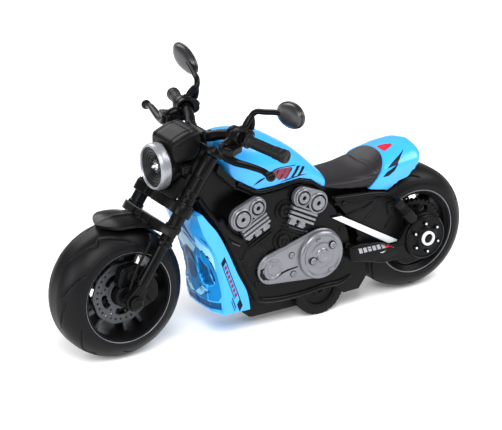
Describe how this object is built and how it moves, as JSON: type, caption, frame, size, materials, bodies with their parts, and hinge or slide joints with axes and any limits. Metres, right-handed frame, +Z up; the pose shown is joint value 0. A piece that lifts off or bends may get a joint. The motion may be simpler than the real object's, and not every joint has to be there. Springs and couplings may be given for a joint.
{
  "type": "pull-back toy motorcycle",
  "caption": "Moulded plastic toy cruiser motorcycle with a steering fork, rolling wheels and a geared pull-back motor under the engine.",
  "frame": {"origin": "on the ground under the middle of the machine's length and width", "axes": "+X forward, +Y to the rider's left, +Z up"},
  "size_m": [0.18, 0.0946, 0.1015],
  "materials": {
    "blue_plastic": "gloss",
    "black_plastic": "satin gloss",
    "dark_satin": "satin",
    "tyre_rubber": "matte",
    "engine_grey": "metallic satin",
    "bright_trim": "silver paint",
    "steel": "satin",
    "lens": "gloss",
    "motor_plastic": "matte"
  },
  "bodies": {
    "chassis": {"fuel_tank": "blue_plastic", "seat": "dark_satin", "tail_cowl": "blue_plastic", "chin_fairing": "blue_plastic", "body_shell_left": "black_plastic", "body_shell_right": "black_plastic", "rear_frame_left": "black_plastic", "rear_frame_right": "black_plastic", "swingarm_left": "black_plastic", "swingarm_right": "black_plastic", "shock_left": "black_plastic", "shock_right": "black_plastic", "primary_cover_left": "engine_grey", "primary_cover_right": "engine_grey", "head_cover_front_left": "engine_grey", "head_cover_front_right": "engine_grey", "head_cover_rear_left": "engine_grey", "head_cover_rear_right": "engine_grey", "frame_screw_rear": "steel", "frame_screw_front": "steel", "rear_axle": "bright_trim", "motor_housing_left": "motor_plastic", "motor_housing_right": "motor_plastic"},
    "fork": {"steering_stem": "steel", "upper_yoke": "black_plastic", "lower_yoke": "black_plastic", "fork_brace": "black_plastic", "fork_leg_left": "black_plastic", "fork_leg_right": "black_plastic", "front_axle": "black_plastic", "brake_caliper_left": "black_plastic", "brake_caliper_right": "black_plastic", "front_fender": "black_plastic", "headlight_bucket": "black_plastic", "headlight_ring": "bright_trim", "headlight_lens": "lens", "instrument_pod": "black_plastic", "handlebar": "black_plastic", "grip_left": "dark_satin", "grip_right": "dark_satin", "control_left": "black_plastic", "control_right": "black_plastic", "mirror_left": "black_plastic", "mirror_right": "black_plastic"},
    "front_wheel": {"front_tyre": "tyre_rubber", "front_rim": "black_plastic", "front_disc_left": "steel", "front_disc_right": "steel"},
    "rear_wheel": {"rear_tyre": "tyre_rubber", "rear_rim": "black_plastic", "rear_pulley": "black_plastic", "rear_disc": "steel"},
    "drive": {"drive_gear": "motor_plastic", "drive_axle": "steel", "drive_wheel_left": "tyre_rubber", "drive_wheel_right": "tyre_rubber"},
    "idler": {"idler_gear": "motor_plastic"},
    "barrel": {"spring_barrel": "motor_plastic", "mainspring": "steel"}
  },
  "joints": [
    {"name": "steering", "type": "hinge", "parent": "chassis", "child": "fork", "pos_m": [0.026, 0, 0.077], "axis": [-0.5592, 0, 0.829], "range_deg": [-12, 12]},
    {"name": "front_wheel_spin", "type": "hinge", "parent": "fork", "child": "front_wheel", "pos_m": [0.064, 0, 0.026], "axis": [0, 1, 0], "continuous": true},
    {"name": "rear_wheel_spin", "type": "hinge", "parent": "chassis", "child": "rear_wheel", "pos_m": [-0.065, 0, 0.025], "axis": [0, 1, 0], "continuous": true},
    {"name": "drive_spin", "type": "hinge", "parent": "chassis", "child": "drive", "pos_m": [-0.02, 0, 0.011], "axis": [0, 1, 0], "continuous": true},
    {"name": "idler_spin", "type": "hinge", "parent": "chassis", "child": "idler", "pos_m": [-0.0125, 0, 0.0131], "axis": [0, 1, 0], "continuous": true},
    {"name": "barrel_spin", "type": "hinge", "parent": "chassis", "child": "barrel", "pos_m": [-0.0005, 0, 0.0131], "axis": [0, 1, 0], "continuous": true}
  ],
  "couplings": [
    {"joint": "idler_spin", "follows": "drive_spin", "ratio": -0.85714},
    {"joint": "barrel_spin", "follows": "drive_spin", "ratio": 0.46154}
  ]
}
